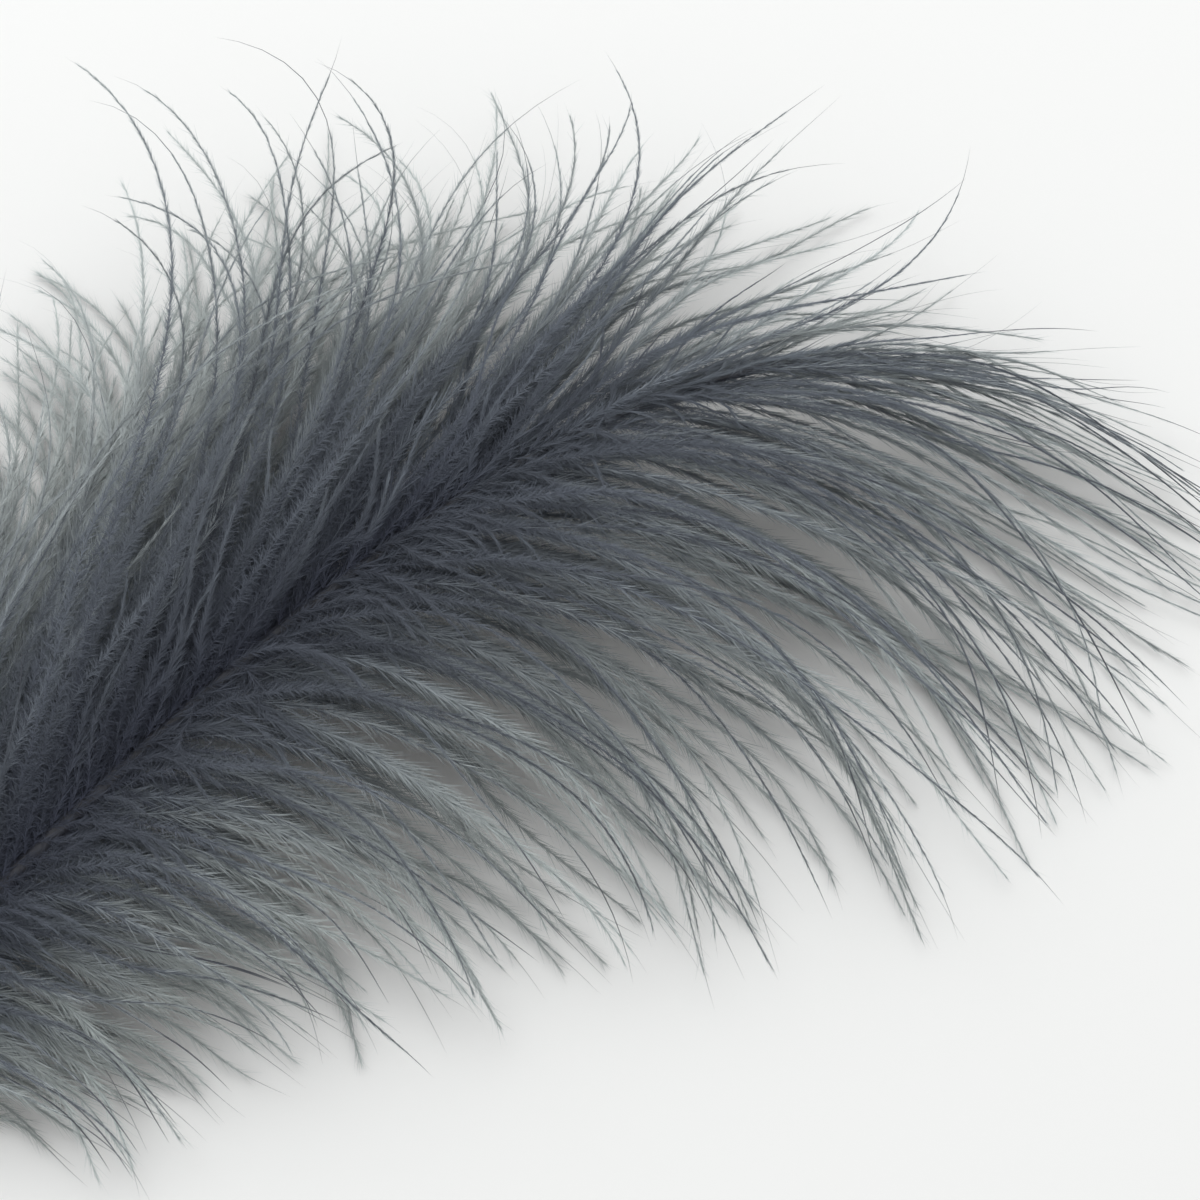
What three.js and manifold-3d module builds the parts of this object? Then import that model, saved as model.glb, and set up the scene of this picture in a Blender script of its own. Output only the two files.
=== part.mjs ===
// A marabou plume lying on a flat surface: one curved quill with fluffy locks of down along both sides.
// Millimetres, +Z up, +X from the bare end of the quill towards the tip, the surface at z = 0.
import * as THREE from "three";
import { mergeVertices } from "three/addons/utils/BufferGeometryUtils.js";
import Module from "manifold-3d";

const wasm = await Module();
wasm.setup();

// Quill: control points from the bare end to the thin end, and its radius at both
const QUILL_CURVE = new THREE.CubicBezierCurve3(
  new THREE.Vector3(-59.6, -47.1, 1.1),
  new THREE.Vector3(-38.1, -27.1, 11.2),
  new THREE.Vector3(-5.1, 14.7, 14),
  new THREE.Vector3(26.8, 17.5, 8),
);
const QUILL_RADIUS = 1.2;
const QUILL_TIP_RADIUS = 0.4;
const QUILL_STEPS = 20;
const QUILL_SIDES = 8;

// Down by its place on the quill's curve: length, turn away from the quill at root and tip, rise of the top layer,
// and for all of a vane the droop of its tips and how far they spread
const PLACES = [0.13, 0.37, 0.61, 0.83, 1];
const FAR_VANE = {
  side: 1,
  length: [44, 53, 47, 34, 26],
  rootTurn: [42, 35, 27, -3, -9],
  tipTurn: [32, 22, 12, -28, -12],
  rise: [46, 44, 30, 6, 0],
  droop: -14,
  tipSpread: 40,
};
const NEAR_VANE = {
  side: -1,
  length: [20, 40, 53, 53, 29],
  rootTurn: [52, 40, 28, 23, 9],
  tipTurn: [82, 92, 93, 70, 20],
  rise: [34, 30, 26, 14, 2],
  droop: -20,
  tipSpread: 16,
};
const LOWEST_RISE = -14;
const LAYER_FAN = 14;
const LAYER_DROOP = 12;
const TURN_BEND = 1.3;
const DROOP_BEND = 0.7;

// Locks: rows along each vane, layers from the lowest to the top, and the size of one lock
const ROWS = 10;
const LAYERS = 3;
const FIRST_ROW = 0.135;
const LAST_ROW = 1;
const LOCK_STEPS = 8;
const LOCK_SIDES = 6;
const LOCK_HALF_WIDTH = 3.4;
const LOCK_HALF_DEPTH = 1.35;
const ROOT_SHARE = 0.3;
const WIDEST_AT = 0.45;
const WALK_STEPS = 5;
const LENGTH_SPREAD = 0.16;
const LONGEST_BARB = 1.06;
const TURN_SPREAD = 8;

// Down settles on the surface: a lock's middle line stays above this height
const REST_HEIGHT = 0.7;
const SETTLE = 2;
const TRIM_DEPTH = 20;
const TRIM_SPAN = 400;

const DOWN_COLOUR = 0x565a63;

function between(values, at) {
  let i = 0;
  while (i < PLACES.length - 2 && at > PLACES[i + 1]) {
    i += 1;
  }
  const share = (at - PLACES[i]) / (PLACES[i + 1] - PLACES[i]);
  return THREE.MathUtils.lerp(values[i], values[i + 1], THREE.MathUtils.clamp(share, 0, 1));
}

// An even spread of numbers from -0.5 to 0.5
function wobble(n) {
  const golden = (n + 1) * 0.6180339887;
  return golden - Math.floor(golden) - 0.5;
}

function settled(z) {
  const above = z - REST_HEIGHT;
  const height = above > SETTLE ? above : SETTLE * Math.exp(above / SETTLE - 1);
  return REST_HEIGHT + height;
}

// The middle line of a lock, with the direction across it at each step
function middleLine(vane, at, layer, n) {
  const tangent = QUILL_CURVE.getTangent(at);
  const heading = Math.atan2(tangent.y, tangent.x);
  const fan = LAYER_FAN * (0.5 - layer) + TURN_SPREAD * wobble(3 * n);
  const rootTurn = between(vane.rootTurn, at) + fan;
  const tipTurn = between(vane.tipTurn, at) + vane.tipSpread * wobble(5 * n);
  const rise = LOWEST_RISE + (between(vane.rise, at) - LOWEST_RISE) * layer;
  const droop = vane.droop + LAYER_DROOP * (layer - 2 / 3);
  const length = LONGEST_BARB * between(vane.length, at) * (1 + LENGTH_SPREAD * wobble(n));
  const steps = LOCK_STEPS * WALK_STEPS;
  const point = QUILL_CURVE.getPoint(at);
  const line = [];
  for (let i = 0; i <= steps; i += 1) {
    const share = i / steps;
    const turn = rootTurn + (tipTurn - rootTurn) * (1 - (1 - share) ** TURN_BEND);
    const way = heading + vane.side * THREE.MathUtils.degToRad(turn);
    const pitch = THREE.MathUtils.degToRad(rise + (droop - rise) * share ** DROOP_BEND);
    const along = new THREE.Vector3(
      Math.cos(pitch) * Math.cos(way),
      Math.cos(pitch) * Math.sin(way),
      Math.sin(pitch),
    );
    if (i % WALK_STEPS === 0) {
      const across = new THREE.Vector3(-Math.sin(way), Math.cos(way), 0);
      const place = new THREE.Vector3(point.x, point.y, settled(point.z));
      line.push({ place, across, over: across.clone().cross(along) });
    }
    point.addScaledVector(along, length / steps);
  }
  return line;
}

// A closed spindle along a line: a lathed profile of radii, bent so that each ring sits on the line
function spindle(line, radii, sides, halfWidth, halfDepth) {
  const profile = radii.map((radius, i) => new THREE.Vector2(radius, i));
  const geometry = new THREE.LatheGeometry(profile, sides);
  const position = geometry.getAttribute("position");
  const ring = new THREE.Vector3();
  for (let i = 0; i < position.count; i += 1) {
    ring.fromBufferAttribute(position, i);
    const { place, across, over } = line[Math.round(ring.y)];
    const bent = place.clone();
    bent.addScaledVector(across, ring.x * halfWidth);
    bent.addScaledVector(over, ring.z * halfDepth);
    position.setXYZ(i, bent.x, bent.y, bent.z);
  }
  return solid(geometry);
}

function solid(geometry) {
  geometry.deleteAttribute("normal");
  geometry.deleteAttribute("uv");
  const merged = mergeVertices(geometry);
  const corners = merged.getIndex().array;
  const triangles = [];
  for (let i = 0; i < corners.length; i += 3) {
    const [a, b, c] = corners.slice(i, i + 3);
    if (a !== b && b !== c && c !== a) {
      triangles.push(a, b, c);
    }
  }
  const mesh = new wasm.Mesh({
    numProp: 3,
    vertProperties: new Float32Array(merged.getAttribute("position").array),
    triVerts: new Uint32Array(triangles),
  });
  return new wasm.Manifold(mesh);
}

function quill() {
  const line = [];
  const radii = [];
  for (let i = 0; i <= QUILL_STEPS; i += 1) {
    const at = i / QUILL_STEPS;
    const along = QUILL_CURVE.getTangent(at);
    const across = new THREE.Vector3(-along.y, along.x, 0).normalize();
    line.push({ place: QUILL_CURVE.getPoint(at), across, over: across.clone().cross(along) });
    radii.push(THREE.MathUtils.lerp(QUILL_RADIUS, QUILL_TIP_RADIUS, at));
  }
  const first = line[0];
  const last = line[line.length - 1];
  return spindle([first, ...line, last], [0, ...radii, 0], QUILL_SIDES, 1, 1);
}

function lockRadius(share) {
  const swell = share < WIDEST_AT ? share / WIDEST_AT : (1 - share) / (1 - WIDEST_AT);
  const full = Math.sqrt(Math.max(0, swell * (2 - swell)));
  return share < WIDEST_AT ? ROOT_SHARE + (1 - ROOT_SHARE) * full : full;
}

function lock(vane, at, layer, n) {
  const radii = [0];
  for (let i = 1; i < LOCK_STEPS; i += 1) {
    radii.push(lockRadius(i / LOCK_STEPS));
  }
  radii.push(0);
  return spindle(middleLine(vane, at, layer, n), radii, LOCK_SIDES, LOCK_HALF_WIDTH, LOCK_HALF_DEPTH);
}

function feather() {
  let body = quill();
  let n = 0;
  for (const vane of [FAR_VANE, NEAR_VANE]) {
    for (let layer = 0; layer < LAYERS; layer += 1) {
      for (let row = 0; row < ROWS; row += 1) {
        const share = (row + (layer + 0.5) / LAYERS) / ROWS;
        const at = THREE.MathUtils.lerp(FIRST_ROW, LAST_ROW, share);
        body = body.add(lock(vane, at, layer / (LAYERS - 1), n));
        n += 1;
      }
    }
  }
  const under = new THREE.BoxGeometry(TRIM_SPAN, TRIM_SPAN, TRIM_DEPTH);
  under.translate(0, 0, -TRIM_DEPTH / 2);
  return body.subtract(solid(under));
}

function meshOf(name, body, material) {
  const { vertProperties, triVerts } = body.getMesh();
  const geometry = new THREE.BufferGeometry();
  geometry.setAttribute("position", new THREE.BufferAttribute(vertProperties, 3));
  geometry.setIndex(new THREE.BufferAttribute(triVerts, 1));
  geometry.computeVertexNormals();
  const mesh = new THREE.Mesh(geometry, material);
  mesh.name = name;
  return mesh;
}

const down = new THREE.MeshStandardMaterial({ color: DOWN_COLOUR, roughness: 0.85, metalness: 0 });
const plume = new THREE.Group();
plume.add(meshOf("feather", feather(), down));

export default plume;
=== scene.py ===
"""A marabou plume: a curved quill with its down made barb by barb, each barb fringed with fine barbules."""

import math

import bmesh
import bpy
import numpy as np
from bpy.props import FloatProperty, FloatVectorProperty, IntProperty, PointerProperty
from mathutils import Matrix, Vector


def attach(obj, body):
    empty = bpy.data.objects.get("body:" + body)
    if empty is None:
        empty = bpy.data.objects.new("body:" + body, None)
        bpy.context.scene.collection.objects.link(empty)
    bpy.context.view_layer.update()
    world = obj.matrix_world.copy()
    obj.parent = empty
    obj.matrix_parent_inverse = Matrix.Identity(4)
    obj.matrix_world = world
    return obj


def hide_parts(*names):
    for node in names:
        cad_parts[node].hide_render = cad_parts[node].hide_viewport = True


bl_info = {
    "name": "Marabou Plume",
    "version": (1, 0, 0),
    "blender": (4, 5, 0),
    "location": "View3D > Sidebar > Plume",
    "description": "Builds a marabou plume over its packed solid: quill, down and stage",
    "category": "Add Mesh",
}

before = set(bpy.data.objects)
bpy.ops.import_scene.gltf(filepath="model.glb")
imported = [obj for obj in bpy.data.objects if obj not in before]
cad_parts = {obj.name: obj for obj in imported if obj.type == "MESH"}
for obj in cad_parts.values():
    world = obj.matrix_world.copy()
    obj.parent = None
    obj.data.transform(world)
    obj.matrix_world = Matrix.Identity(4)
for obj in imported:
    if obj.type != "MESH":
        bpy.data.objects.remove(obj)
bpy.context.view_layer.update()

MM = 0.001
UV_NAME = "OFBake"
SEED = 11
FEWEST = 10
SHORTEST = 1e-12

# The plume's plan, in millimetres and degrees, as its solid has it: the quill from the bare end to the tip
QUILL_CURVE = np.array([(-59.6, -47.1, 1.1), (-38.1, -27.1, 11.2), (-5.1, 14.7, 14.0), (26.8, 17.5, 8.0)])
QUILL_RINGS = 60
QUILL_SIDES = 12

# Places along the quill, from the first barbs to the tip: most values of a vane are given at each of them
PLACES = (0.13, 0.37, 0.61, 0.83, 1.0)

# Places along a barb, as shares of its fluffy length: a vane's leans and wisps are given at these
BARBULE_PLACES = (0.0, 0.15, 0.55, 0.85, 1.25)

# The vane that stands up behind the quill
FAR_VANE = {
    "side": 1,
    # Barbs: how densely they grow, length, thickness as a share of the barb radius, and lift off the quill
    "density": (3.7, 2.4, 1.4, 0.3, 0.8),
    "length": (51, 58, 48, 34, 26),
    "length_spread": 0.09,
    "thickness": 0.42,
    "lift": 0.0,
    # Where barbs point: turn away from the quill at root and tip, rise of the top layer, droop of the tips
    "root_turn": (38, 35, 27, -3, -9),
    "root_spread": 9.0,
    "tip_turn": (26, 18, 12, -28, -12),
    "tip_spread": (16, 16, 15, 9, 7),
    "rise": (46, 44, 30, 6, 0),
    "droop": -14,
    # How barbs bend: waves, curl of the tips, and locks as (number of barbs, hold, start, release)
    "wave": 17.0,
    "curl": (46, 86, 55, 18, 8),
    "locks": ((3, 0.3, 0.2, 0.7),),
    # Barbules: share of a barb that has them, how far they open, length, leans, wisps, crowding at the root
    "fluff": (0.76, 0.74, 0.7, 0.6, 0.6),
    "open": (1.0, 1.0, 0.9, 0.35, 0.2),
    "barbule_length": 1.5,
    "barbule_leans": (55, 58, 44, 15, 6),
    "wisp_shares": (0.3, 0.6, 0.85, 0.8, 0.35),
    "crowding": (1.15, 1.15, 1.15, 0.8, 0.6),
    # Dye and painted light: shade of the barbs, how much it differs, paleness at roots and tips, and what a
    # wisp adds to it. The dark roots are painted shade where the down is dense by the quill. The pale tips,
    # what a wisp adds, and the higher tone and root paleness towards the plume's tip are painted light.
    "tone": (0.64, 0.63, 0.63, 0.72, 0.75),
    "contrast": 0.12,
    "root_pale": (0.0, 0.0, 0.0, 0.35, 0.55),
    "pale": (0.95, 0.85, 0.75, 0.7, 0.72),
    "wisp_pale": 0.15,
}

# The vane that hangs down in front of the quill
NEAR_VANE = {
    "side": -1,
    "density": (1.6, 1.0, 1.2, 0.95, 0.6),
    "length": (21, 35, 55, 52, 28),
    "length_spread": 0.08,
    "thickness": 0.8,
    "lift": 0.0,
    "root_turn": (52, 40, 28, 23, 9),
    "root_spread": 10.0,
    "tip_turn": (78, 92, 93, 70, 14),
    "tip_spread": (14, 14, 14, 15, 10),
    "rise": (34, 30, 26, 14, 2),
    "droop": -20,
    "wave": 11.0,
    "curl": (20, 18, 16, 12, 8),
    "locks": ((3, 0.3, 0.3, 0.3), (5, 0.28, 0.4, 0.0)),
    "fluff": (0.6, 0.7, 0.76, 0.74, 0.7),
    "open": (1.0, 1.0, 0.85, 0.45, 0.25),
    "barbule_length": 1.5,
    "barbule_leans": (55, 50, 22, 11, 8),
    "wisp_shares": (0.3, 0.7, 0.9, 0.65, 0.25),
    "crowding": (1.35, 1.35, 1.35, 0.8, 0.6),
    # Tone and paleness as on the far vane: dark roots are painted shade; pale tips, wisps and the higher
    # tone and root paleness towards the plume's tip are painted light
    "tone": (0.57, 0.56, 0.57, 0.67, 0.75),
    "contrast": 0.16,
    "root_pale": (0.0, 0.06, 0.12, 0.3, 0.5),
    "pale": (0.85, 0.8, 0.7, 0.64, 0.7),
    "wisp_pale": 0.25,
}

# Short wavy tufts over the quill, which lean as the down beside them does
TUFTS = {
    "density": (1.0, 1.0, 1.0, 0.3, 0.0),
    "length_spread": 0.3,
    "thickness": 0.5,
    "lift": 1.2,
    "root_spread": 16.0,
    "tip_spread": (8, 8, 8, 8, 8),
    "wave": 18.0,
    "curl": (12, 12, 12, 10, 8),
    "locks": ((4, 0.8, 0.05, 0.3),),
    "fluff": (0.72, 0.72, 0.72, 0.6, 0.5),
    "barbule_length": 1.5,
    "barbule_leans": (40, 34, 22, 14, 8),
    "wisp_shares": (0.1, 0.1, 0.1, 0.1, 0.0),
    "crowding": (0.85, 0.85, 0.85, 0.85, 0.85),
    "pale": (0.45, 0.45, 0.45, 0.45, 0.45),
    "wisp_pale": 0.0,
}
FAR_TUFTS = FAR_VANE | TUFTS | {
    "length": (18, 19, 17, 11, 7),
    "root_turn": (34, 33, 30, 8, -4),
    "tip_turn": (28, 26, 22, 0, -8),
    "droop": 16,
    # Far tufts are lighter than the vane: painted light on the tufts' tops
    "tone": (0.68, 0.68, 0.68, 0.68, 0.68),
    "contrast": 0.18,
}
NEAR_TUFTS = NEAR_VANE | TUFTS | {
    "length": (8, 10, 11, 9, 6),
    "droop": -4,
    "wave": 8.0,
    # Near tufts are darker and less pale: painted shade in the valley along the quill's near side
    "tone": (0.46, 0.46, 0.46, 0.52, 0.6),
    "contrast": 0.08,
    "pale": (0.36, 0.36, 0.36, 0.36, 0.36),
}

# Layers of a vane, from 0 for the lowest barbs to 1 for the top ones, and the bend of turn and droop
LOWEST_RISE = -14
LAYER_FAN = 14
MIDDLE_LAYER = 0.5
LAYER_DROOP = 12
DROOP_LAYER = 2 / 3
TURN_BEND = 1.3
DROOP_BEND = 0.7

# Down settles on the paper: middle lines stay above the first height, and no barbule goes below the last
REST_HEIGHT = 0.45
SETTLE = 2.0
LOWEST = 0.04

# Barbs along the quill: the first and the last, steps of the sum that spaces them, and the step of layers
FIRST_BARB = 0.135
LAST_BARB = 1.0
LADDER_STEPS = 200
GOLDEN = 0.6180339887

# How barbs differ: bounds of what is drawn for each, and how much of a draw is its own and not its lock's
SPREAD_BOUNDS = (-2, 2)
LENGTH_BOUNDS = (-2, 1.4)
STRAY_SHARE = 0.08
STRAY_LENGTH = 0.05
TIP_OWN = 0.65
TIP_BOUNDS = (-0.8, 1.6)
PITCH_SPREAD = 5.0
RISE_BOUNDS = (-2, 0.5)
DROOP_BOUNDS = (-1, 0.5)
WAVE_BOUNDS = (0.4, 1.0)
WAVE_GROWTH = 0.6
CYCLES = 1.2
CYCLES_SPREAD = 0.4
CYCLES_OWN = 0.3
PHASE_SPREAD = 0.12
CURL_FROM = 0.4
CURL_BEND = 1.3
CURL_OWN = 0.75
CURL_BOUNDS = (-0.35, 1.2)
FLUFF_SPREAD = 0.07
FLUFF_BOUNDS = (0.12, 0.78)
SHADE_OWN = 0.6
SHADE_BOUNDS = (0.06, 0.94)

# Locks: layers that don't mix, the share of a barb over which a lock closes, where it opens, and its hold
LOCK_LAYERS = 3
LOCK_CLOSING = 0.35
LOCK_OPENING = (0.5, 1.0)
HOLD_BOUNDS = (0.4, 1.3)
TIGHTEST_HOLD = 0.96

# Barbs: steps and sides of a tube, its radius along it, and a little shade that keeps its sides' UVs apart
BARB_STEPS = 24
BARB_SIDES = 3
BARB_PLACES = (0.0, 0.3, 0.6, 0.85, 1.0)
BARB_RADII = (0.4, 0.4, 0.8, 0.9, 0.15)
SIDE_SHADE = 0.01

# Barbules: length as a share of the vane's, fan about the barb, how they differ, and shades of a blade
BARBULE_LENGTHS = (0.9, 0.9, 0.9, 0.8, 0.55)
BARBULE_FANS = (60, 55, 40, 60, 80)
LAST_BARBULE = 0.98
LEAN_SPREAD = 0.5
BARBULE_BOUNDS = (0.5, 1.2)
BARBULE_TWIST = 0.4
BARBULE_SHADE_SPREAD = 0.05
BLADE_SHADES = (-0.04, -0.03, 0.06)
BLADE_FADE = 0.02

# Fog: lower barbs are thinner and paler, their paleness painted light through fine fibres, and many of
# their barbules are wisps: long, wide and pale with more painted light; the top layer takes less painted
# light
FOG_LAYERS = (0.55, 0.85)
FOG_THINNING = 0.6
TOP_DARKNESS = 0.3
WISP_LEAN = (3, 34)
WISP_LENGTH = 3.2
WISP_WIDTHS = (1.4, 1.6, 1.7, 1.2, 0.6)

# Dyed keratin: its refraction, place of the dye's middle colour between the painted shade at the root and
# the painted light at the tip, shades of fibres, and patches on the quill
KERATIN_IOR = 1.55
MIDDLE_COLOUR_AT = 0.45
FIBRE_SHADES = (0.6, 1.4)
PATCH_SIZE = 1.2 * MM
PATCH_DEPTH = 0.05 * MM
PATCH_SHADES = (0.75, 1.25)
PATCH_GLOSS = (0.3, 0.5)

# Stage, in metres and watts: half the paper's width, the room's light, a window behind, and light bounces
PAPER_REACH = 3.0
ROOM_LIGHT = 0.76
WINDOW_SIZE = 0.6
WINDOW_POWER = 2.0
WINDOW_PLACE = Vector((-0.12, 0.4, 0.5))
LIGHT_BOUNCES = 1

# Camera: the point it looks at, distance, height angle, lens and sensor, and the nearest that it sees
VIEW_TARGET = Vector((5.4, -0.1, 0)) * MM
VIEW_DISTANCE = 213 * MM
VIEW_ELEVATION = math.radians(68)
LENS = 80
SENSOR_WIDTH = 36
NEAREST_SEEN = 10 * MM


def linear(code):
    """An sRGB hex colour as linear RGBA."""
    shares = [int(code[i : i + 2], 16) / 255 for i in (1, 3, 5)]
    return tuple(s / 12.92 if s <= 0.04045 else ((s + 0.055) / 1.055) ** 2.4 for s in shares) + (1.0,)


def colour(name, description, code):
    """A colour that a user can change, from its hex code."""
    return FloatVectorProperty(
        name=name, description=description, subtype="COLOR", size=4, min=0, max=1, default=linear(code)
    )


def length(name, description, value):
    """A length that a user can change, in metres."""
    return FloatProperty(
        name=name, description=description, unit="LENGTH", min=0, precision=5, default=value
    )


def number(name, description, value):
    """A count that a user can change."""
    return IntProperty(name=name, description=description, min=FEWEST, default=value)


class PlumeSizes(bpy.types.PropertyGroup):
    """Sizes and counts of the plume."""

    quill_radius: length("Quill radius", "Radius at the bare end of the quill", 1.1 * MM)
    quill_tip_radius: length("Quill tip radius", "Radius where the quill thins out", 0.3 * MM)
    barb_radius: length("Barb radius", "Radius of a barb where it is thickest", 0.1 * MM)
    barbule_width: length("Barbule width", "Width of a barbule at its root", 0.047 * MM)
    far_barbs: number("Far barbs", "Barbs on the far vane", 325)
    near_barbs: number("Near barbs", "Barbs on the near vane", 235)
    tufts: number("Tufts", "Short barbs over the quill on each side", 105)
    barbules: number("Barbules", "Barbules on a millimetre of barb", 40)


class PlumeColours(bpy.types.PropertyGroup):
    """Colours of the plume and of the paper under it."""

    # Roots are darker than the dye: painted shade where the down is dense by the quill. Tips are paler:
    # painted light where light passes through the fine fibres.
    barb_root_painted_shade: colour("Barb root", "Dyed barb near the quill", "#454854")
    barb_middle: colour("Barb middle", "Dyed barb halfway", "#50545c")
    barb_tip_painted_light: colour("Barb tip", "Dyed barb at its tip", "#93979a")
    barbule_root_painted_shade: colour("Barbule root", "Barbules near the quill", "#3c404e")
    barbule_middle: colour("Barbule middle", "Barbules in the middle of the fluff", "#6b727a")
    barbule_tip_painted_light: colour("Barbule tip", "Barbules at the end of the fluff", "#bac2c1")
    quill: colour("Quill", "Dyed horn of the quill", "#33353e")
    paper: colour("Paper", "White paper under the plume", "#f2f3f2")


def add(tree, kind, settings=(), links=()):
    """Adds a node. Settings go to its inputs or its own values, and links are (input, source socket)."""
    made = tree.nodes.new(kind)
    for name, value in settings:
        if name in made.inputs:
            made.inputs[name].default_value = value
        else:
            setattr(made, name, value)
    for name, source in links:
        tree.links.new(source, made.inputs[name])
    return made


def new_material(name):
    """A material without nodes, and its node tree."""
    material = bpy.data.materials.new(name)
    material.use_nodes = True
    material.node_tree.nodes.clear()
    return material, material.node_tree


def down_material(name, dye, roughness, specular):
    """Dyed down keratin: dull, darker towards the roots with painted shade and lighter towards the tips
    with painted light, each fibre a shade of its own.
    """
    material, tree = new_material(name)
    root, middle, tip = dye
    place = add(tree, "ShaderNodeUVMap", [("uv_map", UV_NAME)])
    parts = add(tree, "ShaderNodeSeparateXYZ", links=[("Vector", place.outputs["UV"])])
    # The ramp runs from the roots' painted shade through the dye to the tips' painted light
    ramp = add(tree, "ShaderNodeValToRGB", links=[("Fac", parts.outputs["X"])])
    ramp.color_ramp.elements[0].color = root
    ramp.color_ramp.elements[1].color = tip
    ramp.color_ramp.elements.new(MIDDLE_COLOUR_AT).color = middle
    shade = add(
        tree,
        "ShaderNodeMapRange",
        [("To Min", FIBRE_SHADES[0]), ("To Max", FIBRE_SHADES[1])],
        [("Value", parts.outputs["Y"])],
    )
    dyed = add(
        tree,
        "ShaderNodeHueSaturation",
        links=[("Color", ramp.outputs["Color"]), ("Value", shade.outputs["Result"])],
    )
    shader = add(
        tree,
        "ShaderNodeBsdfPrincipled",
        [("Roughness", roughness), ("Specular IOR Level", specular), ("IOR", KERATIN_IOR)],
        [("Base Color", dyed.outputs["Color"])],
    )
    add(tree, "ShaderNodeOutputMaterial", links=[("Surface", shader.outputs["BSDF"])])
    return material


def barb_material(colours):
    """Dyed barbs: smooth enough for a faint shine along them."""
    name = "dyed barb"
    dye = (colours.barb_root_painted_shade, colours.barb_middle, colours.barb_tip_painted_light)
    return bpy.data.materials.get(name) or down_material(name, dye, roughness=0.55, specular=0.35)


def barbule_material(colours):
    """Dyed barbules: so fine that the fluff looks matt."""
    name = "dyed barbule"
    dye = (colours.barbule_root_painted_shade, colours.barbule_middle, colours.barbule_tip_painted_light)
    return bpy.data.materials.get(name) or down_material(name, dye, roughness=0.8, specular=0.2)


def quill_material(colours):
    """Dyed horn: smooth and faintly glossy, with patches where the dye took unevenly."""
    material, tree = new_material("dyed horn")
    place = add(tree, "ShaderNodeTexCoord")
    patches = add(
        tree,
        "ShaderNodeTexNoise",
        [("Scale", 1 / PATCH_SIZE), ("Detail", 4.0), ("Roughness", 0.6)],
        [("Vector", place.outputs["Object"])],
    )
    shade = add(
        tree,
        "ShaderNodeMapRange",
        [("To Min", PATCH_SHADES[0]), ("To Max", PATCH_SHADES[1])],
        [("Value", patches.outputs["Fac"])],
    )
    dyed = add(
        tree,
        "ShaderNodeHueSaturation",
        [("Color", colours.quill)],
        [("Value", shade.outputs["Result"])],
    )
    gloss = add(
        tree,
        "ShaderNodeMapRange",
        [("To Min", PATCH_GLOSS[0]), ("To Max", PATCH_GLOSS[1])],
        [("Value", patches.outputs["Fac"])],
    )
    bump = add(
        tree,
        "ShaderNodeBump",
        [("Strength", 0.15), ("Distance", PATCH_DEPTH)],
        [("Height", patches.outputs["Fac"])],
    )
    shader = add(
        tree,
        "ShaderNodeBsdfPrincipled",
        [("IOR", KERATIN_IOR)],
        [
            ("Base Color", dyed.outputs["Color"]),
            ("Roughness", gloss.outputs["Result"]),
            ("Normal", bump.outputs["Normal"]),
        ],
    )
    add(tree, "ShaderNodeOutputMaterial", links=[("Surface", shader.outputs["BSDF"])])
    return material


def paper_material(colours):
    """White paper: matt and even."""
    material, tree = new_material("white paper")
    shader = add(tree, "ShaderNodeBsdfPrincipled", [("Base Color", colours.paper), ("Roughness", 0.9)])
    add(tree, "ShaderNodeOutputMaterial", links=[("Surface", shader.outputs["BSDF"])])
    return material


def unit(vectors):
    """Vectors brought to length 1."""
    return vectors / np.maximum(np.linalg.norm(vectors, axis=-1, keepdims=True), SHORTEST)


def rising(low, high, values):
    """A smooth step from 0 at low to 1 at high."""
    share = np.clip((values - low) / (high - low), 0, 1)
    return share * share * (3 - 2 * share)


def settled(z):
    """Heights with the lowest ones laid on the surface."""
    above = z - REST_HEIGHT
    eased = SETTLE * np.exp(np.minimum(above, SETTLE) / SETTLE - 1)
    return REST_HEIGHT + np.where(above > SETTLE, above, eased)


def quill_point(at):
    """Points of the quill's curve."""
    at = np.asarray(at, float)[..., None]
    a, b, c, d = QUILL_CURVE
    return (1 - at) ** 3 * a + 3 * at * (1 - at) ** 2 * b + 3 * at**2 * (1 - at) * c + at**3 * d


def quill_way(at):
    """Directions along the quill's curve."""
    at = np.asarray(at, float)[..., None]
    a, b, c, d = QUILL_CURVE
    return unit((1 - at) ** 2 * (b - a) + 2 * at * (1 - at) * (c - b) + at**2 * (d - c))


def walked(at, spans, side, turn, pitch):
    """Lines that leave the quill at each place and follow turns away from it and pitches, in degrees."""
    along = quill_way(at)
    heading = np.arctan2(along[:, 1], along[:, 0])[:, None] + side * np.radians(turn)
    pitch = np.radians(pitch)
    ways = np.stack(
        [np.cos(pitch) * np.cos(heading), np.cos(pitch) * np.sin(heading), np.sin(pitch)], axis=-1
    )
    steps = (ways[:, 1:] + ways[:, :-1]) / 2 * (spans / BARB_STEPS)[:, None, None]
    return quill_point(at)[:, None] + np.concatenate([np.zeros((len(at), 1, 3)), np.cumsum(steps, 1)], 1)


def lock_numbers(layer, size):
    """The lock that each barb is in: barbs of about the same layer, next to each other along the quill."""
    tier = np.minimum((layer * LOCK_LAYERS).astype(int), LOCK_LAYERS - 1)
    numbers = np.zeros(len(layer), int)
    first = 0
    for own in range(LOCK_LAYERS):
        members = np.flatnonzero(tier == own)
        numbers[members] = first + np.arange(len(members)) // size
        first = numbers.max() + 1
    return numbers


def gathered(lines, lock, hold, pull, draw):
    """Draws the barbs of each lock towards its middle barb, by pull along the barb."""
    members = [np.flatnonzero(lock == n) for n in range(lock.max() + 1)]
    leaders = np.array([own[len(own) // 2] for own in members])
    weight = np.minimum(hold * draw.uniform(*HOLD_BOUNDS, len(lines)), TIGHTEST_HOLD)
    return lines + (lines[leaders[lock]] - lines) * (weight[:, None] * pull)[..., None]


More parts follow.
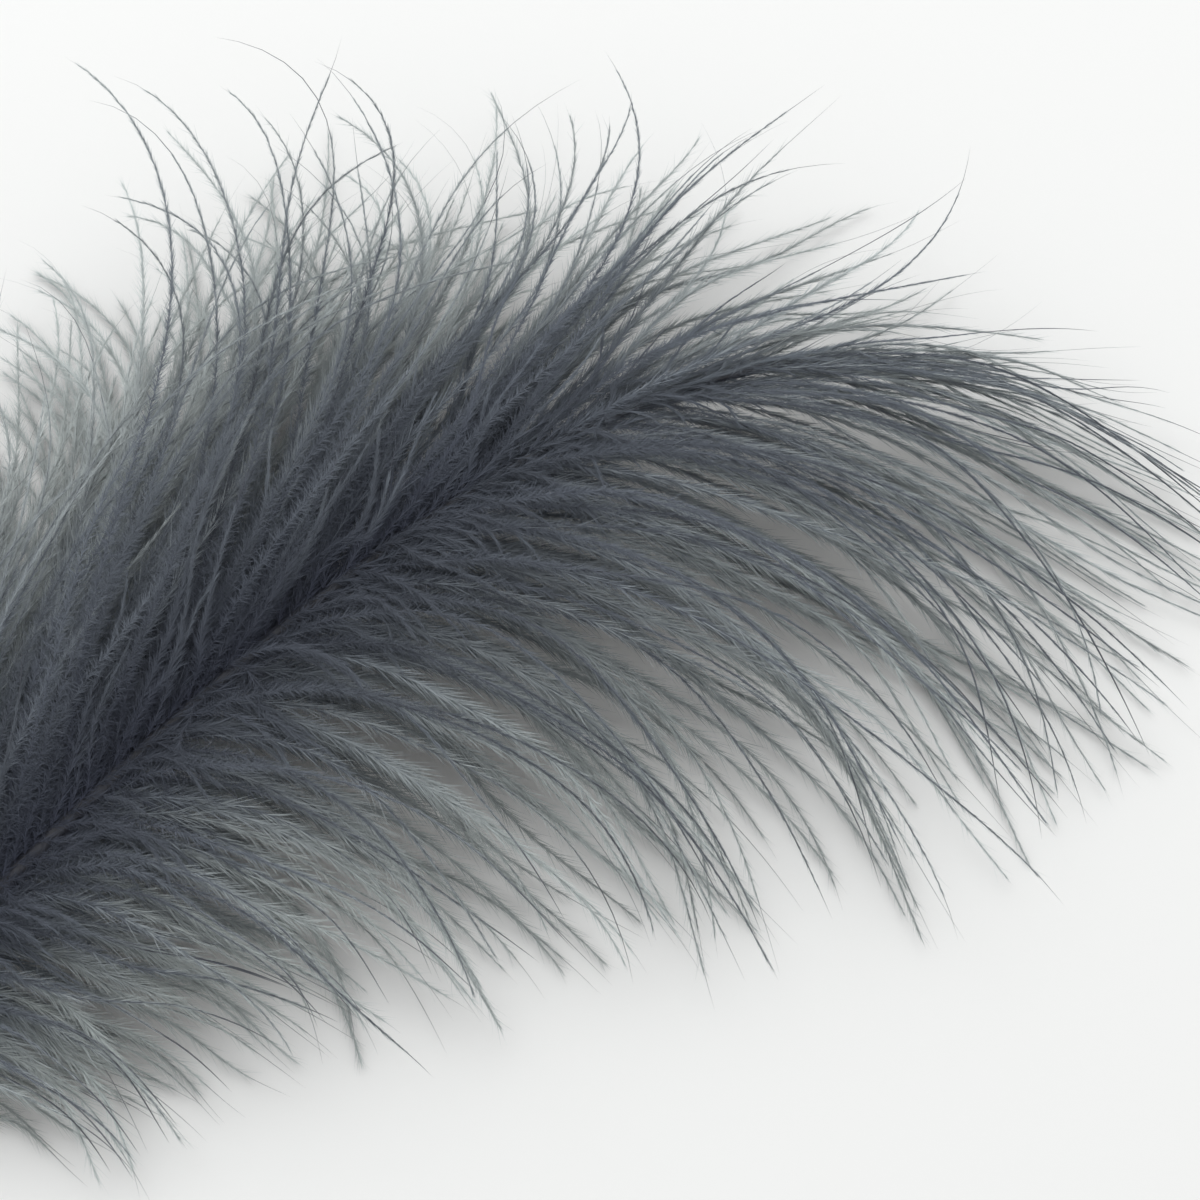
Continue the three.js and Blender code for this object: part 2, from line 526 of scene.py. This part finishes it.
def barb_lines(vane, count, draw):
    """A vane's barbs: middle lines, (barb, step, 3), and each barb's length, fluffy share, shade and fog,
    how far its barbules open and how they crowd, and its paleness at tip and root, which sets how much
    painted shade and painted light it takes."""
    order = np.arange(count)
    ladder = np.linspace(FIRST_BARB, LAST_BARB, LADDER_STEPS)
    heap = np.cumsum(np.interp(ladder, PLACES, vane["density"]))
    at = np.interp((order + draw.uniform(0, 1, count)) / count * heap[-1], heap, ladder)
    layer = (order * GOLDEN) % 1
    stray = draw.uniform(0, 1, count) < STRAY_SHARE
    lock = lock_numbers(layer, vane["locks"][-1][0])

    def bounded(bounds):
        """A draw for each barb, within bounds."""
        return np.clip(draw.standard_normal(count), *bounds)

    def local(key, spread=0.0):
        """A value of the vane at each barb's place."""
        return np.interp(at, PLACES, vane[key]) + spread * bounded(SPREAD_BOUNDS)

    def shared(own):
        """A draw for each barb, in part its own and in part its lock's."""
        together = draw.standard_normal(lock.max() + 1)[lock]
        return own * draw.standard_normal(count) + math.sqrt(1 - own**2) * together

    spans = local("length") * (1 + vane["length_spread"] * bounded(LENGTH_BOUNDS))
    spans *= 1 + STRAY_LENGTH * stray
    root_turn = local("root_turn", vane["root_spread"]) + LAYER_FAN * (MIDDLE_LAYER - layer)
    tip_turn = local("tip_turn") + local("tip_spread") * np.clip(shared(TIP_OWN), *TIP_BOUNDS)
    top_rise = local("rise") + PITCH_SPREAD * draw.uniform(*RISE_BOUNDS, count)
    rise = LOWEST_RISE + (top_rise - LOWEST_RISE) * layer
    droop = vane["droop"] + LAYER_DROOP * (layer - DROOP_LAYER)
    droop += PITCH_SPREAD * draw.uniform(*DROOP_BOUNDS, count)
    wave = vane["wave"] * draw.uniform(*WAVE_BOUNDS, count)
    cycles = CYCLES + CYCLES_SPREAD * shared(CYCLES_OWN)
    phase = draw.uniform(0, 1, lock.max() + 1)[lock] + PHASE_SPREAD * draw.standard_normal(count)
    curl = local("curl") * np.clip(shared(CURL_OWN), *CURL_BOUNDS)

    share = np.linspace(0, 1, BARB_STEPS + 1)[None]
    waves = np.sin(2 * math.pi * (cycles[:, None] * share + phase[:, None]))
    turn = root_turn[:, None] + (tip_turn - root_turn)[:, None] * (1 - (1 - share) ** TURN_BEND)
    turn += wave[:, None] * waves * share**WAVE_GROWTH
    turn += curl[:, None] * np.maximum(0, (share - CURL_FROM) / (1 - CURL_FROM)) ** CURL_BEND
    pitch = rise[:, None] + (droop - rise)[:, None] * share**DROOP_BEND
    lines = walked(at, spans, vane["side"], turn, pitch)
    for size, hold, start, release in vane["locks"]:
        pull = rising(start, start + LOCK_CLOSING, share[0])
        pull *= 1 - release * rising(*LOCK_OPENING, share[0])
        lines = gathered(lines, lock_numbers(layer, size), hold * ~stray, pull, draw)
    lines[..., 2] = settled(lines[..., 2] + vane["lift"])
    fog = 1 - rising(*FOG_LAYERS, layer)
    return {
        "lines": lines,
        "spans": spans,
        "fluff": np.clip(local("fluff", FLUFF_SPREAD), *FLUFF_BOUNDS),
        "shade": np.clip(local("tone") + vane["contrast"] * shared(SHADE_OWN), *SHADE_BOUNDS),
        "fog": fog,
        "open": local("open"),
        # Lower fog layers take more of the painted light at the tips than the top layer
        "pale": local("pale") * (1 - TOP_DARKNESS * (1 - fog)),
        "root_pale": local("root_pale"),
        "crowding": local("crowding"),
    }


def line_frames(lines):
    """Directions along, across and over each line."""
    along = unit(np.gradient(lines, axis=1))
    across = unit(np.cross((0, 0, 1), along))
    return along, across, np.cross(along, across)


def barb_tubes(barbs, frames, radius):
    """Thin tapered tubes along the barbs: points, triangles and UV places."""
    lines = barbs["lines"]
    count, rings = lines.shape[0], lines.shape[1] - 1
    _, across, over = frames
    share = np.linspace(0, 1, rings + 1)
    radii = radius * (1 - FOG_THINNING * barbs["fog"])[:, None] * np.interp(share, BARB_PLACES, BARB_RADII)
    angles = 2 * math.pi * np.arange(BARB_SIDES) / BARB_SIDES
    offsets = (
        across[:, :rings, None] * np.cos(angles)[None, None, :, None]
        + over[:, :rings, None] * np.sin(angles)[None, None, :, None]
    )
    points = lines[:, :rings, None] + offsets * radii[:, :rings, None, None]
    points = np.concatenate([points.reshape(count, -1, 3), lines[:, rings:]], 1)
    each = points.shape[1]
    triangles = [(0, side + 1, side) for side in range(1, BARB_SIDES - 1)]
    for ring in range(rings - 1):
        for side in range(BARB_SIDES):
            a = ring * BARB_SIDES + side
            b = ring * BARB_SIDES + (side + 1) % BARB_SIDES
            triangles += [(a, b, b + BARB_SIDES), (a, b + BARB_SIDES, a + BARB_SIDES)]
    last = (rings - 1) * BARB_SIDES
    triangles += [(last + side, last + (side + 1) % BARB_SIDES, each - 1) for side in range(BARB_SIDES)]
    triangles = np.array(triangles)[None] + each * np.arange(count)[:, None, None]
    # u runs along the colour ramp from the root's painted shade towards the tip's painted light
    pale, root_pale = barbs["pale"][:, None], barbs["root_pale"][:, None]
    u = root_pale + (pale - root_pale) * np.append(np.repeat(share[:rings], BARB_SIDES), 1.0)
    v = barbs["shade"][:, None] + SIDE_SHADE * np.append(np.tile(np.arange(BARB_SIDES) - 1, rings), 0)
    places = np.stack([u, v], -1)
    return points.reshape(-1, 3), triangles.reshape(-1, 3), places.reshape(-1, 2)


def barbule_blades(barbs, frames, vane, per_mm, width, draw):
    """Fine blades along the fluffy share of the barbs, a triangle each: points, triangles and UV places."""
    lines, fluff = barbs["lines"], barbs["fluff"]
    steps = lines.shape[1] - 1
    counts = np.round(barbs["spans"] * fluff * per_mm).astype(int)
    barb = np.repeat(np.arange(len(lines)), counts)
    total = len(barb)
    last = np.minimum(BARBULE_PLACES[-1], LAST_BARBULE / fluff)[barb]
    place = last * draw.uniform(0, 1, total) ** barbs["crowding"][barb]
    share = place * fluff[barb]
    step = np.minimum((share * steps).astype(int), steps - 1)
    part = (share * steps - step)[:, None]

    def at_place(values):
        """Values of the barbs' steps at each barbule's root."""
        return values[barb, step] * (1 - part) + values[barb, step + 1] * part

    def spread(size):
        """A draw for each barbule."""
        return size * draw.standard_normal(total)

    def along_barb(values):
        """Values at each barbule's place along its barb."""
        return np.interp(place, BARBULE_PLACES, values)

    root = at_place(lines)
    along, across, over = (unit(at_place(values)) for values in frames)
    roll = np.radians(along_barb(BARBULE_FANS) * spread(1.0))
    row = np.where(draw.uniform(0, 1, total) < 0.5, -1.0, 1.0)
    out = across * (row * np.cos(roll))[:, None] + over * np.sin(roll)[:, None]
    lean = along_barb(vane["barbule_leans"]) * (1 + spread(LEAN_SPREAD))
    wisp_shares = along_barb(vane["wisp_shares"]) * (barbs["fog"] * barbs["open"])[barb]
    wisp = draw.uniform(0, 1, total) < wisp_shares
    lean = np.radians(np.where(wisp, draw.uniform(*WISP_LEAN, total), lean) * barbs["open"][barb])
    spans = np.where(wisp, WISP_LENGTH, vane["barbule_length"])
    spans *= along_barb(BARBULE_LENGTHS) * draw.uniform(*BARBULE_BOUNDS, total)
    way = along * np.cos(lean)[:, None] + out * np.sin(lean)[:, None]
    wide = unit(np.cross(way, over + BARBULE_TWIST * draw.standard_normal((total, 3))))
    wide *= (width / 2 * np.where(wisp, along_barb(WISP_WIDTHS), 1))[:, None]
    points = np.stack([root - wide, root + wide, root + way * spans[:, None]], 1)
    points[..., 2] = np.maximum(points[..., 2], LOWEST)
    triangles = np.arange(3 * total).reshape(-1, 3)
    shade = barbs["shade"][barb] + spread(BARBULE_SHADE_SPREAD)
    # u runs along the colour ramp from the root's painted shade towards the tip's painted light
    root_pale = barbs["root_pale"][barb]
    # Wisps add painted light to a barbule's paleness
    inner = root_pale + (barbs["pale"][barb] - root_pale) * place + vane["wisp_pale"] * wisp
    inner = np.clip(inner, 0, 1 - BLADE_FADE)
    u = np.stack([inner, inner, inner + BLADE_FADE], -1)
    v = np.clip(shade[:, None] + np.array(BLADE_SHADES), 0, 1)
    places = np.stack([u, v], -1)
    return points.reshape(-1, 3), triangles, places.reshape(-1, 2)


def linked(name, data):
    """A new object in the scene."""
    made = bpy.data.objects.new(name, data)
    bpy.context.scene.collection.objects.link(made)
    return made


def finished(name, shape, material):
    """An object from a bmesh, with its material."""
    mesh = bpy.data.meshes.new(name)
    shape.to_mesh(mesh)
    shape.free()
    mesh.materials.append(material)
    return linked(name, mesh)


def joined_mesh(name, shapes, materials):
    """One object from the points, triangles and UV places of each of its materials in turn."""
    starts = np.cumsum([0] + [len(points) for points, _, _ in shapes])
    points = np.concatenate([shape[0] for shape in shapes]) * MM
    triangles = np.concatenate([shape[1] + start for shape, start in zip(shapes, starts)])
    places = np.concatenate([shape[2] for shape in shapes])
    slots = np.concatenate([np.full(len(shape[1]), i) for i, shape in enumerate(shapes)])
    mesh = bpy.data.meshes.new(name)
    mesh.vertices.add(len(points))
    mesh.vertices.foreach_set("co", points.astype(np.float32).ravel())
    mesh.loops.add(triangles.size)
    mesh.loops.foreach_set("vertex_index", triangles.astype(np.int32).ravel())
    mesh.polygons.add(len(triangles))
    mesh.polygons.foreach_set("loop_start", np.arange(0, triangles.size, 3, dtype=np.int32))
    mesh.polygons.foreach_set("material_index", slots.astype(np.int32))
    mesh.polygons.foreach_set("use_smooth", np.ones(len(triangles), bool))
    layer = mesh.uv_layers.new(name=UV_NAME)
    layer.uv.foreach_set("vector", places[triangles.ravel()].astype(np.float32).ravel())
    mesh.update(calc_edges=True)
    for material in materials:
        mesh.materials.append(material)
    return linked(name, mesh)


def dress(piece):
    """Puts a piece in the place of the feather's solid."""
    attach(piece, "root")
    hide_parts("feather")


def down_pieces(names, vane, count, seed, scene):
    """The down of one vane, in one piece for each name, from the base to the tip."""
    sizes, colours = scene.plume_sizes, scene.plume_colours
    materials = (barb_material(colours), barbule_material(colours))
    draw = np.random.default_rng(seed)
    down = barb_lines(vane, count, draw)
    for name, own in zip(names, np.array_split(np.arange(count), len(names))):
        part = {key: values[own] for key, values in down.items()}
        frames = line_frames(part["lines"])
        tubes = barb_tubes(part, frames, vane["thickness"] * sizes.barb_radius / MM)
        blades = barbule_blades(part, frames, vane, sizes.barbules, sizes.barbule_width / MM, draw)
        dress(joined_mesh(name, (tubes, blades), materials))


class PLUME_OT_quill(bpy.types.Operator):
    """Build the quill"""

    bl_idname = "plume.quill"
    bl_label = "Quill"

    def execute(self, context):
        sizes = context.scene.plume_sizes
        shape = bmesh.new()
        ring = bmesh.ops.create_circle(shape, segments=QUILL_SIDES, radius=1, cap_ends=True)["verts"]
        edges = list(shape.edges)
        start = Matrix.Identity(4)
        for i in range(QUILL_RINGS + 1):
            at = i / QUILL_RINGS
            radius = sizes.quill_radius + (sizes.quill_tip_radius - sizes.quill_radius) * at
            turn = Vector(quill_way(at)).to_track_quat("Z", "Y").to_matrix().to_4x4()
            place = Matrix.Translation(Vector(quill_point(at)) * MM) @ turn @ Matrix.Scale(radius, 4)
            if i:
                made = bmesh.ops.extrude_edge_only(shape, edges=edges)["geom"]
                ring = [one for one in made if isinstance(one, bmesh.types.BMVert)]
                edges = [one for one in made if isinstance(one, bmesh.types.BMEdge)]
                edges = [edge for edge in edges if all(corner in ring for corner in edge.verts)]
            bmesh.ops.transform(shape, matrix=place @ start.inverted(), verts=ring)
            start = place
        bmesh.ops.contextual_create(shape, geom=edges)
        bmesh.ops.recalc_face_normals(shape, faces=shape.faces)
        piece = finished("quill", shape, quill_material(context.scene.plume_colours))
        piece.data.shade_smooth()
        dress(piece)
        return {"FINISHED"}


class PLUME_OT_far_vane(bpy.types.Operator):
    """Build the down of the far vane"""

    bl_idname = "plume.far_vane"
    bl_label = "Far vane"

    def execute(self, context):
        names = ("far_vane_base", "far_vane_middle", "far_vane_tip")
        down_pieces(names, FAR_VANE, context.scene.plume_sizes.far_barbs, SEED, context.scene)
        return {"FINISHED"}


class PLUME_OT_near_vane(bpy.types.Operator):
    """Build the down of the near vane"""

    bl_idname = "plume.near_vane"
    bl_label = "Near vane"

    def execute(self, context):
        names = ("near_vane_base", "near_vane_middle", "near_vane_tip")
        down_pieces(names, NEAR_VANE, context.scene.plume_sizes.near_barbs, SEED + 1, context.scene)
        return {"FINISHED"}


class PLUME_OT_tufts(bpy.types.Operator):
    """Build the short down that covers the quill"""

    bl_idname = "plume.tufts"
    bl_label = "Tufts"

    def execute(self, context):
        count = context.scene.plume_sizes.tufts
        down_pieces(("far_tufts",), FAR_TUFTS, count, SEED + 2, context.scene)
        down_pieces(("near_tufts",), NEAR_TUFTS, count, SEED + 3, context.scene)
        return {"FINISHED"}


class PLUME_OT_stage(bpy.types.Operator):
    """Lay the paper, and set the lights and the camera"""

    bl_idname = "plume.stage"
    bl_label = "Stage"

    def execute(self, context):
        scene = context.scene
        shape = bmesh.new()
        bmesh.ops.create_grid(shape, x_segments=1, y_segments=1, size=PAPER_REACH)
        paper = finished("paper", shape, paper_material(scene.plume_colours))

        world = bpy.data.worlds.new("soft room")
        world.use_nodes = True
        world.node_tree.nodes["Background"].inputs["Color"].default_value = (1, 1, 1, 1)
        world.node_tree.nodes["Background"].inputs["Strength"].default_value = ROOM_LIGHT
        scene.world = world

        lamp = bpy.data.lights.new("window", "AREA")
        lamp.size = WINDOW_SIZE
        lamp.energy = WINDOW_POWER
        window = linked("window", lamp)
        window.location = WINDOW_PLACE
        window.rotation_euler = (-WINDOW_PLACE).to_track_quat("-Z", "Y").to_euler()

        lens = bpy.data.cameras.new("camera")
        lens.lens = LENS
        lens.sensor_width = SENSOR_WIDTH
        lens.clip_start = NEAREST_SEEN
        camera = linked("camera", lens)
        away = Vector((0, -math.cos(VIEW_ELEVATION), math.sin(VIEW_ELEVATION)))
        camera.location = VIEW_TARGET + away * VIEW_DISTANCE
        camera.rotation_euler = (math.pi / 2 - VIEW_ELEVATION, 0, 0)
        scene.camera = camera
        scene.view_settings.view_transform = "Standard"
        scene.cycles.max_bounces = LIGHT_BOUNCES
        scene.cycles.diffuse_bounces = LIGHT_BOUNCES
        return {"FINISHED"}


class PLUME_PT_panel(bpy.types.Panel):
    """Sizes, colours and steps of the plume"""

    bl_idname = "PLUME_PT_panel"
    bl_label = "Marabou Plume"
    bl_space_type = "VIEW_3D"
    bl_region_type = "UI"
    bl_category = "Plume"

    def draw(self, context):
        for group in (context.scene.plume_sizes, context.scene.plume_colours):
            for name in group.__annotations__:
                self.layout.prop(group, name)
        for step in STEPS:
            self.layout.operator(step.bl_idname)


STEPS = (PLUME_OT_quill, PLUME_OT_far_vane, PLUME_OT_near_vane, PLUME_OT_tufts, PLUME_OT_stage)
CLASSES = (PlumeSizes, PlumeColours, *STEPS, PLUME_PT_panel)


def register():
    for one in CLASSES:
        bpy.utils.register_class(one)
    bpy.types.Scene.plume_sizes = PointerProperty(type=PlumeSizes)
    bpy.types.Scene.plume_colours = PointerProperty(type=PlumeColours)


def unregister():
    del bpy.types.Scene.plume_colours
    del bpy.types.Scene.plume_sizes
    for one in reversed(CLASSES):
        bpy.utils.unregister_class(one)


def main():
    register()
    bpy.ops.plume.quill()
    bpy.ops.plume.far_vane()
    bpy.ops.plume.near_vane()
    bpy.ops.plume.tufts()
    bpy.ops.plume.stage()


if __name__ == "__main__":
    main()
